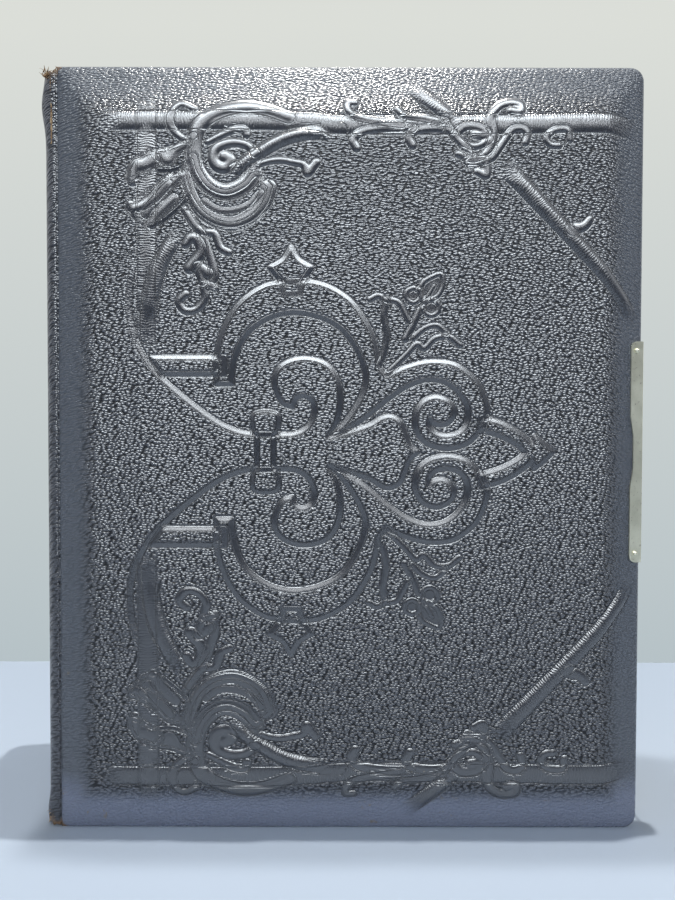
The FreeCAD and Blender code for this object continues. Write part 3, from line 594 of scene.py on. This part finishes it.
def black_leather(name, on_cover, worn_ends=False):
    """Black grained leather: pebbles drawn out sideways with painted shade in the gaps between them
    and in the creases by the ornament; where the die pressed it, smooth and glossier, and painted
    darker for the shade on its walls; painted grey reflection on the bevels, bluer at the tail."""
    node, finish, place = new_material(name)
    drift = node("ShaderNodeTexNoise", {"Vector": place, "Scale": 260.0, "Detail": 2.0})
    bent = node("ShaderNodeVectorMath", {0: drift.outputs["Color"], 1: (0.5, 0.5, 0.5)},
                operation="SUBTRACT").outputs[0]
    bent = node("ShaderNodeVectorMath", {0: bent, "Scale": 0.0011}, operation="SCALE").outputs[0]
    bent = node("ShaderNodeVectorMath", {0: place, 1: bent}, operation="ADD").outputs[0]
    parts = node("ShaderNodeSeparateXYZ", {0: bent}).outputs
    laid = node("ShaderNodeCombineXYZ", {
        0: math_node(node, "ADD", parts["X"], parts["Y"]),
        1: math_node(node, "ADD", parts["Z"], parts["Y"])}).outputs[0]
    laid = node("ShaderNodeMapping", {"Vector": laid, "Rotation": (0, 0, math.radians(14)),
                                      "Scale": (0.55, 1.0, 1.0)}).outputs[0]
    cells = node("ShaderNodeTexVoronoi", {"Vector": laid, "Scale": GRAIN_SCALE, "Randomness": 0.75},
                 voronoi_dimensions="2D")
    swell = math_node(node, "MULTIPLY", cells.outputs["Distance"], 1.3)
    swell = math_node(node, "SUBTRACT", 1.0, math_node(node, "POWER", swell, 1.5), clamp=True)
    fine = noise(node, place, 2600.0, 3.0)
    cloud = noise(node, place, 22.0, 5.0, 0.6)
    height = node("ShaderNodeSeparateXYZ", {0: place}).outputs["Z"]
    grain, pressed, bark, rings, crease, bevel = 0.7, 0.0, 0.0, 0.0, 0.0, 0.3
    if on_cover:
        grain, pressed, bark, twig, rim = (
            node("ShaderNodeAttribute", attribute_name=label).outputs["Fac"]
            for label in ("grain", "pressed", "bark", "twig", "rim"))
        twig = math_node(node, "MULTIPLY_ADD", drift.outputs[0], 2.8, twig)
        rings = math_node(node, "SINE", math_node(node, "MULTIPLY", twig, 2 * math.pi / BARK_STEP))
        rings = math_node(node, "MULTIPLY", math_node(node, "MULTIPLY_ADD", rings, 0.5, 0.5), bark)
        crease = apart(node, math_node(node, "ABSOLUTE", rim), 1.0)
        crease = math_node(node, "DIVIDE", crease, CREASE_WIDE)
        crease = math_node(node, "SUBTRACT", 1.0, crease, clamp=True)
    relief = math_node(node, "MULTIPLY", swell, grain)
    relief = math_node(node, "MULTIPLY_ADD", rings, 0.24, relief)
    relief = math_node(node, "MULTIPLY_ADD", fine, 0.14, relief)
    relief = math_node(node, "MULTIPLY_ADD", crease, -0.35, relief)
    normal = bump(node, relief, GRAIN_DEPTH)
    leather = ramp(node, cloud, (0.3, LEATHER_DARK), (0.7, LEATHER_PALE))
    # Painted shade: the gaps between the pebbles are darkened to near black.
    shaded_gap = math_node(node, "MULTIPLY", ramp(node, swell, (GAP[0], 1.0), (GAP[1], 0.0)), grain)
    leather = mix_colour(node, shaded_gap, leather, GAP_SHADE)
    if on_cover:
        # Painted reflection: the bevels and the turned-in edges are greyed, as the room would show
        # in their sheen.
        bevel = math_node(node, "SUBTRACT", math_node(node, "SUBTRACT", 1.0, pressed), grain)
        bevel = math_node(node, "MULTIPLY", bevel, 3.5, clamp=True)
        bevel_reflection = math_node(node, "MULTIPLY", bevel, 0.7)
        leather = mix_colour(node, bevel_reflection, leather, BEVEL_REFLECTION_GREY)
        # Painted reflection: the bevel along the tail is blued, as the table below would show in
        # it.
        tail = math_node(node, "MULTIPLY", spread(node, height, 0.022, 0.012), bevel)
        leather = mix_colour(node, tail, leather, TAIL_REFLECTION_BLUE)
    # Painted shade: the die-pressed parts are darkened, standing in for the shade on their walls
    # that face down.
    leather = mix_colour(node, math_node(node, "MULTIPLY", pressed, 0.65), leather, PRESSED_SHADE)
    # Painted shade in the creases beside the ornament's walls.
    leather = mix_colour(node, math_node(node, "MULTIPLY", crease, 0.8), leather, CREASE_SHADE)
    from_middle = apart(node, height, HALF_TALL)
    scuff = noise(node, place, 190.0, 6.0, 0.7)
    low = node("ShaderNodeMapRange", {"Value": height, "From Min": 0.11, "From Max": 0.0,
                                      "To Min": 0.0, "To Max": 0.05}).outputs[0]
    scuff = math_node(node, "ADD", scuff, low)
    scuff = math_node(node, "MULTIPLY", ramp(node, scuff, (0.685, 0.0), (0.74, 1.0)),
                      ramp(node, cloud, (0.48, 0.0), (0.62, 1.0)))
    leather = mix_colour(node, math_node(node, "MULTIPLY", scuff, 0.75), leather, SCUFF_TAN)
    if on_cover:
        from_end = math_node(node, "MULTIPLY_ADD", from_middle, -0.7, 0.7 * HALF_TALL)
        sideways = node("ShaderNodeSeparateXYZ", {0: place}).outputs["X"]
        sideways = math_node(node, "SUBTRACT", sideways, SPINE_SIDE * MM)
        from_corner = math_node(node, "ADD", sideways, from_end)
        from_corner = math_node(node, "MULTIPLY_ADD", drift.outputs[0], 0.005, from_corner)
        torn = spread(node, from_corner, 0.0056, 0.0046)
        leather = mix_colour(node, torn, leather, TORN_BROWN)
    if worn_ends:
        ends = math_node(node, "MULTIPLY_ADD", drift.outputs[0], 0.014, from_middle)
        ends = spread(node, ends, HALF_TALL + 0.0025, HALF_TALL + 0.0055)
        leather = mix_colour(node, ends, leather, WORN_BROWN)
    rough = math_node(node, "MULTIPLY_ADD", cloud, 0.12, ROUGH)
    rough = math_node(node, "MULTIPLY_ADD", shaded_gap, 0.15, rough)
    varnish = math_node(node, "MULTIPLY_ADD", bevel, -0.62, 1.0)
    varnish = math_node(node, "SUBTRACT", varnish, shaded_gap, clamp=True)
    return finish(Base_Color=leather, Roughness=rough, Specular_IOR_Level=0.4, Coat_Weight=varnish,
                  Coat_Roughness=0.24, Coat_IOR=1.75, Normal=normal, Coat_Normal=normal)


cover_leather = black_leather("cover_leather", True)
front_skin = cover_skin("front_skin", -1, pressed_ornament, True, (3.2, 1.5))
front_skin.data.materials.append(cover_leather)
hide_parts("front_leather")
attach(front_skin, "front_cover")


# Rear cover's skin: the same leather, left plain but for two blind lines round the panel.
# It can't be seen in the photograph, so its plainness is a guess.
rear_skin = cover_skin("rear_skin", 1, no_ornament, False, (1.6,))
rear_skin.data.materials.append(cover_leather)
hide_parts("rear_leather")
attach(rear_skin, "rear_cover")


# Spine: a strip of the same leather over a stiff card, turned round both corners of the back.
# Its head is torn and its tail worn down to the brown inner leather.
BACK, SPINE_ROUND, SPINE_WALL = -110.3, 5.0, 0.85
turns = np.linspace(0, math.pi / 2, 13)
front_half = np.vstack([
    [(-104.86, -27.15), (-105.1, -27.42)],
    np.stack([BACK + SPINE_ROUND * (1 - np.sin(turns)),
              SPINE_ROUND - BEVEL_FOOT - SPINE_ROUND * np.cos(turns)], axis=1),
    [(BACK, y) for y in np.linspace(-20, 0, 9)]])
spine_profile = np.vstack([front_half, front_half[-2::-1] * (1, -1)])


def flat_grid(name, columns, rows):
    """A flat grid to bend into shape, with how far across and along it each point lies."""
    bpy.ops.mesh.primitive_grid_add(x_subdivisions=columns, y_subdivisions=rows, size=1)
    sheet = bpy.context.object
    sheet.name = name
    places = np.zeros(len(sheet.data.vertices) * 3)
    sheet.data.vertices.foreach_get("co", places)
    across, along, _ = places.reshape(-1, 3).T + 0.5
    return sheet, across, along


def lay(sheet, x, y, z):
    """Put a sheet's points at places in millimetres."""
    sheet.data.vertices.foreach_set("co", np.stack([x, y, z], axis=1).ravel() * MM)


spine_skin, across, along = flat_grid("spine_skin", len(spine_profile) - 1, 150)
across *= len(spine_profile) - 1
x = np.interp(across, range(len(spine_profile)), spine_profile[:, 0])
y = np.interp(across, range(len(spine_profile)), spine_profile[:, 1])
# How much is torn from the head and worn from the foot, then how the corner and the back bulge
torn = soft_step((-18.5 - y) / 5) * (1.7 + 0.9 * np.sin(2.9 * y) + 0.6 * np.sin(6.1 * y + 1))
worn = soft_step((-20.5 - y) / 4) * (1.0 + 0.5 * np.sin(3.3 * y) + 0.4 * np.sin(7.3 * y))
foot, head = 0.1 + worn + 0.1 * np.sin(1.3 * y), TALL - 0.15 - torn - 0.12 * np.sin(0.9 * y)
z = foot + along * (head - foot)
at_front = soft_step((-9 - y) / 9) * soft_step((y + 27.6) / 2)
x = x - at_front * (1.5 * np.exp(-((z - 267) / 8) ** 2) + 0.9 * np.exp(-((z - 5) / 5) ** 2))
x = x - 0.12 * soft_step((20 - np.abs(y)) / 12) * (1 + np.sin(z / 13))
lay(spine_skin, x, y, z)
spine_skin.data.flip_normals()


def thicken(piece, wall, offset):
    """Give a sheet its thickness."""
    solid = piece.modifiers.new("wall", "SOLIDIFY")
    solid.thickness = wall * MM
    solid.offset = offset
    bpy.context.view_layer.objects.active = piece
    bpy.ops.object.modifier_apply(modifier=solid.name)


thicken(spine_skin, SPINE_WALL, -1)
bpy.ops.object.shade_smooth_by_angle(angle=math.radians(50))
worn_leather = black_leather("worn_leather", False, True)
spine_skin.data.materials.append(worn_leather)
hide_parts("spine_leather")
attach(spine_skin, "spine")


# Torn threads and fibres of the spine's inner leather, standing in the tear at the head
# and round the worn corner at the tail.
node, finish, place = new_material("raw_fibre")
cloud = noise(node, place, 900.0, 3.0)
tans = ramp(node, cloud, (0.35, (0.09, 0.045, 0.02, 1)), (0.5, (0.33, 0.19, 0.085, 1)),
            (0.68, (0.62, 0.45, 0.25, 1)))
raw_fibre = finish(Base_Color=tans, Roughness=0.85, Normal=bump(node, cloud, 0.0002))
bpy.ops.mesh.primitive_cylinder_add(vertices=5, radius=0.21 * MM, depth=MM,
                                    location=(0, 0, 0.5 * MM))
fibre = bpy.context.object
bpy.ops.object.transform_apply()
bpy.ops.object.mode_set(mode="EDIT")
for level in (0.2, 0.4, 0.6, 0.8):
    bpy.ops.mesh.select_all(action="SELECT")
    bpy.ops.mesh.bisect(plane_co=(0, 0, level * MM), plane_no=(0, 0, 1))
bpy.ops.object.mode_set(mode="OBJECT")
fibre_points = np.array([vertex.co for vertex in fibre.data.vertices]) / MM
draw = np.random.default_rng(11)


def fray(name, count, low, high, length, rising):
    """A tuft of bent fibres rooted between two corners of a box, in millimetres."""
    bpy.ops.object.select_all(action="DESELECT")
    for number in range(count):
        thread = fibre.copy()
        thread.data = fibre.data.copy()
        bpy.context.scene.collection.objects.link(thread)
        root = draw.uniform(low, high)
        reach = length * draw.uniform(0.4, 1.0)
        lean, curl = draw.normal(0, 0.55, 2), draw.normal(0, 0.5, 2)
        t = fibre_points[:, 2:]
        points = np.hstack([fibre_points[:, :2] * (1.15 - 0.8 * t), rising * reach * t])
        points[:, :2] += lean * reach * t + curl * np.sin(4 * t) * reach / 3
        thread.data.vertices.foreach_set("co", ((points + root) * MM).ravel())
        if rising < 0:
            thread.data.flip_normals()
        thread.select_set(True)
    bpy.context.view_layer.objects.active = thread
    bpy.ops.object.join()
    bpy.ops.object.shade_smooth()
    thread.name = name
    thread.data.materials.append(raw_fibre)
    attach(thread, "spine")


fray("head_fray", 130, (-109.8, -26.9, 275.6), (-102.6, -22.5, 278.6), 2.3, 1)
fray("tail_fray", 40, (-109.6, -26.8, 1.8), (-104.8, -23.5, 7.0), 2.0, -1)
bpy.data.objects.remove(fibre)


# Split along the front corner of the spine, where the leather has cracked and its
# tan core shows as a narrow ragged line.
split, across, along = flat_grid("spine_split", 3, 60)
across, along = across - 0.5, along - 0.5
z = 264 + 24.0 * along
middle = np.interp(z, (252, 255, 261.5, 264.5, 268.5, 276),
                   (-106.7, -106.65, -106.6, -106.8, -107.6, -106.9))
width = 0.45 + 0.7 * np.cos(math.pi * along) ** 2 + 0.22 * np.sin(2.3 * z) + 0.12 * np.sin(7.1 * z)
x = np.minimum(middle + across * width + 0.12 * np.sin(5.1 * z), -106.25)
round_to = np.sqrt(SPINE_ROUND**2 - np.minimum(x - BACK - SPINE_ROUND, 0)**2)
lay(split, x, SPINE_ROUND - BEVEL_FOOT - round_to + 0.02, z)
thicken(split, 0.1, 0)
bpy.ops.object.shade_smooth_by_angle(angle=math.radians(50))
split.data.materials.append(raw_fibre)
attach(split, "spine")


# Leather joints: a flat strip of the worn leather along the spine edge of each board, where the
# covers swing on the skin itself.
for name, cover, facing in (("front_joint", "front_cover", -1), ("rear_joint", "rear_cover", 1)):
    joint, _, _ = flat_grid(name, 10, 70)
    joint.scale = (2.0 * MM, (TALL - 4) * MM, 1)
    joint.rotation_euler = (math.pi / 2, 0, 0)
    joint.location = (SPINE_SIDE * MM, facing * 27.0 * MM, TALL / 2 * MM)
    bpy.ops.object.transform_apply()
    thicken(joint, 0.4, 0)
    joint.data.materials.append(worn_leather)
    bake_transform(joint)


# Fore-edge plates and clasp: nickelled sheet metal, bent and pinned through the boards,
# dulled with age and spotted where the plating has gone.
node, finish, place = new_material("old_nickel")
cloud = noise(node, place, 120.0, 6.0)
spots = noise(node, place, 700.0, 4.0, 0.7)
brushed = node("ShaderNodeMapping", {"Vector": place, "Scale": (6.0, 6.0, 0.3)}).outputs[0]
brushed = noise(node, brushed, 700.0, 3.0)
plating = ramp(node, cloud, (0.3, (0.60, 0.58, 0.44, 1)), (0.7, (0.80, 0.78, 0.62, 1)))
spotted = math_node(node, "MULTIPLY", ramp(node, spots, (0.60, 0.0), (0.70, 1.0)), 0.7)
plating = mix_colour(node, spotted, plating, (0.20, 0.15, 0.09, 1))
old_nickel = finish(
    Base_Color=plating, Metallic=0.7,
    Roughness=math_node(node, "MULTIPLY_ADD", cloud, 0.25, 0.22),
    Normal=bump(node, brushed, 0.00006))


def dress(material, *names):
    """Give CAD nodes their material."""
    for name in names:
        for place_for in nodes[name].material_slots:
            place_for.material = material


dress(old_nickel, "catch_plate", "catch_pins", "catch_bar", "clasp_hinge_plate", "clasp_plate_pins",
      "clasp_hinge_pin", "clasp_flap")


# Pasteboard: the boards, the bevelled panels on them, the card in the spine and the guards
# between the leaves, all grey-brown pulp board in pressed layers.
node, finish, place = new_material("pulp_board")
fleck = noise(node, place, 1500.0, 5.0)
layers = node("ShaderNodeMapping", {"Vector": place, "Scale": (1.0, 40.0, 1.0)}).outputs[0]
layers = noise(node, layers, 60.0, 4.0)
board = ramp(node, fleck, (0.32, (0.30, 0.24, 0.16, 1)), (0.5, (0.46, 0.38, 0.27, 1)),
             (0.72, (0.60, 0.51, 0.38, 1)))
board = mix_colour(node, math_node(node, "MULTIPLY", layers, 0.4), board, (0.26, 0.21, 0.14, 1))
pulp_board = finish(Base_Color=board, Roughness=0.9, Normal=bump(node, fleck, 0.0002))
dress(pulp_board, "front_board", "front_panel", "rear_board", "rear_panel", "spine_card",
      "leaf_guards")


# Linings: a sheet of glazed cream paper pasted inside each cover, with a watered figure.
node, finish, place = new_material("watered_paper")
bands = node("ShaderNodeTexWave", {"Vector": place, "Scale": 18.0, "Distortion": 9.0, "Detail": 3.0,
                                   "Detail Scale": 1.2}, bands_direction="Z").outputs["Fac"]
threads = node("ShaderNodeTexWave", {"Vector": place, "Scale": 900.0, "Distortion": 0.6},
               bands_direction="Z").outputs["Fac"]
age = noise(node, place, 14.0, 5.0)
spots = noise(node, place, 160.0, 5.0)
paper = ramp(node, bands, (0.2, (0.62, 0.57, 0.46, 1)), (0.8, (0.74, 0.70, 0.59, 1)))
paper = mix_colour(node, ramp(node, age, (0.45, 0.0), (0.75, 0.5)), paper, (0.52, 0.43, 0.29, 1))
paper = mix_colour(node, ramp(node, spots, (0.66, 0.0), (0.72, 0.6)), paper, (0.40, 0.25, 0.12, 1))
watered_paper = finish(
    Base_Color=paper, Roughness=math_node(node, "MULTIPLY_ADD", bands, 0.2, 0.3),
    Normal=bump(node, threads, 0.00004))
dress(watered_paper, "front_lining", "rear_lining")


# Leaves: fourteen thick leaves, each two cream mats over a card core with a pocket between,
# a gilt line round each window, and gilt on the leaves' three outer edges.
LEAF_LOW, LEAF_HIGH, LEAF_END = 4.0, 276.0, 104.0
WINDOW_X, WINDOW_HALF, WINDOW_ROUND = 8.925, (49.0, 74.0), 8.0
node, finish, place = new_material("cream_mat")
parts = node("ShaderNodeSeparateXYZ", {0: place}).outputs
sides = []
for part, middle, half in ((parts["X"], WINDOW_X, WINDOW_HALF[0]),
                           (parts["Z"], TALL / 2, WINDOW_HALF[1])):
    away = math_node(node, "SUBTRACT", apart(node, part, middle * MM), (half - WINDOW_ROUND) * MM)
    sides.append(math_node(node, "MAXIMUM", away, 0.0))
corner = node("ShaderNodeCombineXYZ", {0: sides[0], 1: sides[1]}).outputs[0]
from_window = node("ShaderNodeVectorMath", {0: corner}, operation="LENGTH").outputs["Value"]
lines = [math_node(node, "LESS_THAN", apart(node, from_window, (WINDOW_ROUND + distance) * MM),
                   half * MM) for distance, half in ((3.4, 0.38), (4.8, 0.14))]
line = math_node(node, "MAXIMUM", *lines)
end = math_node(node, "GREATER_THAN", parts["X"], (LEAF_END - 0.04) * MM)
past_end = math_node(node, "GREATER_THAN", apart(node, parts["Z"], TALL / 2 * MM),
                     (LEAF_HIGH - TALL / 2 - 0.04) * MM)
end = math_node(node, "MAXIMUM", end, past_end)
fine = noise(node, place, 2200.0, 3.0)
age = noise(node, place, 18.0, 6.0)
spots = noise(node, place, 210.0, 5.0)
worn = noise(node, place, 480.0, 5.0)
card = ramp(node, fine, (0.3, (0.68, 0.62, 0.49, 1)), (0.7, (0.76, 0.71, 0.59, 1)))
card = mix_colour(node, ramp(node, age, (0.45, 0.0), (0.8, 0.55)), card, (0.56, 0.46, 0.30, 1))
card = mix_colour(node, ramp(node, spots, (0.68, 0.0), (0.73, 0.65)), card, (0.38, 0.22, 0.10, 1))
gilt = math_node(node, "MULTIPLY", math_node(node, "MAXIMUM", line, end),
                 ramp(node, worn, (0.36, 0.0), (0.46, 1.0)))
cream_mat = finish(
    Base_Color=mix_colour(node, gilt, card, (0.62, 0.42, 0.13, 1)),
    Metallic=math_node(node, "MULTIPLY", gilt, 0.9),
    Roughness=math_node(node, "MULTIPLY_ADD", gilt, -0.4, 0.75),
    Normal=bump(node, fine, 0.00006))
leaf_names = [f"leaf_{number:02d}" for number in range(1, 15)]
dress(cream_mat, *leaf_names)


# Linen: the strip on the backs of the guards, and the hinge of each leaf, one end pasted in its
# guard and the other tucked between its mats; beside the guard, where the cloth bends as the leaf
# turns, it is laid flat with a slight ripple.
node, finish, place = new_material("bookbinders_linen")
warp_and_weft = [
    node("ShaderNodeTexWave", {"Vector": place, "Scale": 780.0, "Distortion": 0.8, "Detail": 2.0},
         bands_direction=direction).outputs["Fac"] for direction in "XZ"]
weave = math_node(node, "MULTIPLY", *warp_and_weft)
slub = noise(node, place, 90.0, 5.0)
cloth = ramp(node, weave, (0.0, (0.36, 0.29, 0.19, 1)), (0.6, (0.66, 0.58, 0.43, 1)))
cloth = mix_colour(node, math_node(node, "MULTIPLY", slub, 0.4), cloth, (0.46, 0.38, 0.25, 1))
linen = finish(Base_Color=cloth, Roughness=0.9, Normal=bump(node, weave, 0.0002))


def linen_strip(name, x_span, z_span, y_of, columns, wall):
    """A strip of linen over a span of x and z, in millimetres, with y from a function."""
    strip, across, along = flat_grid(name, columns, 90)
    x = x_span[0] + across * (x_span[1] - x_span[0])
    z = z_span[0] + along * (z_span[1] - z_span[0])
    lay(strip, x, y_of(x, z), z)
    thicken(strip, wall, 0)
    bpy.ops.object.shade_smooth_by_angle(angle=math.radians(50))
    strip.data.materials.append(linen)
    return strip


HINGE_X, PITCH = -97.15, 3.1
for number, leaf in enumerate(leaf_names, start=1):
    middle = (number - 7.5) * PITCH
    strip = linen_strip(
        f"{leaf}_linen", (-98.6, -80.4), (LEAF_LOW + 0.4, LEAF_HIGH - 0.4),
        lambda x, z: middle + 0.07 * np.sin(z / 3.7 + number) * soft_step((-87 - x) / 4)
        * soft_step((x + 97) / 2), 22, 0.42)
    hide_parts(f"{leaf}_cloth")
    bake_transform(strip)
mull, _, _ = flat_grid("spine_linen", 24, 90)
mull.scale = (43.4 * MM, (LEAF_HIGH - LEAF_LOW) * MM, 1)
mull.rotation_euler = (math.pi / 2, 0, math.pi / 2)
mull.location = (-107.7 * MM, 0, TALL / 2 * MM)
bpy.ops.object.transform_apply()
thicken(mull, 0.34, 0)
mull.data.materials.append(linen)
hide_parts("spine_mull")
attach(mull, "spine")


# Head and tail bands: striped cloth rolled on a cord and pasted across the ends of the guards.
node, finish, place = new_material("striped_band")
stripe = node("ShaderNodeTexWave", {"Vector": place, "Scale": 160.0, "Distortion": 0.4},
              bands_direction="Y").outputs["Fac"]
fuzz = noise(node, place, 2500.0, 3.0)
band_cloth = ramp(node, stripe, (0.46, (0.36, 0.16, 0.09, 1)), (0.54, (0.66, 0.56, 0.40, 1)))
fuzzy = mix_colour(node, math_node(node, "MULTIPLY", fuzz, 0.5), band_cloth, (0.28, 0.19, 0.11, 1))
striped_band = finish(Base_Color=fuzzy, Roughness=0.9, Normal=bump(node, fuzz, 0.0001))
BAND_RADIUS, BAND_X, STRAND_STEP = 1.05, -106.4, 1.45
for name, height in (("head_band", LEAF_HIGH + 1.1), ("tail_band", LEAF_LOW - 1.1)):
    bpy.ops.mesh.primitive_cylinder_add(
        vertices=14, radius=BAND_RADIUS * MM, depth=43.3 * MM,
        location=(BAND_X * MM, 0, height * MM), rotation=(math.pi / 2, 0, 0))
    band = bpy.context.object
    band.name = f"{name}_roll"
    bpy.ops.object.transform_apply()
    bpy.ops.object.mode_set(mode="EDIT")
    bpy.ops.mesh.select_mode(type="EDGE")
    bpy.ops.mesh.select_all(action="DESELECT")
    shape = bmesh.from_edit_mesh(band.data)
    for edge in shape.edges:
        start, end = (vertex.co.y for vertex in edge.verts)
        edge.select_set(abs(start - end) > MM)
    bmesh.update_edit_mesh(band.data)
    bpy.ops.mesh.subdivide(number_cuts=149)
    bpy.ops.object.mode_set(mode="OBJECT")
    for vertex in band.data.vertices:
        away = (vertex.co.x - BAND_X * MM, vertex.co.z - height * MM)
        wrap = math.atan2(away[1], away[0])
        swell = 0.93 + 0.07 * math.sin(vertex.co.y / MM * 2 * math.pi / STRAND_STEP + wrap)
        vertex.co.x = BAND_X * MM + away[0] * swell
        vertex.co.z = height * MM + away[1] * swell
    bpy.ops.object.shade_smooth_by_angle(angle=math.radians(50))
    band.data.materials.append(striped_band)
    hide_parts(name)
    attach(band, "spine")


# Staples: tinned iron wire through the guards, rusting.
node, finish, place = new_material("tinned_wire")
rust = noise(node, place, 500.0, 6.0)
rusted = ramp(node, rust, (0.5, 0.0), (0.62, 1.0))
tinned_wire = finish(
    Base_Color=mix_colour(node, rusted, (0.46, 0.44, 0.41, 1), (0.24, 0.11, 0.05, 1)),
    Metallic=math_node(node, "MULTIPLY_ADD", rusted, -0.8, 1.0),
    Roughness=math_node(node, "MULTIPLY_ADD", rusted, 0.4, 0.4),
    Normal=bump(node, rust, 0.0001))
dress(tinned_wire, "guard_staples")
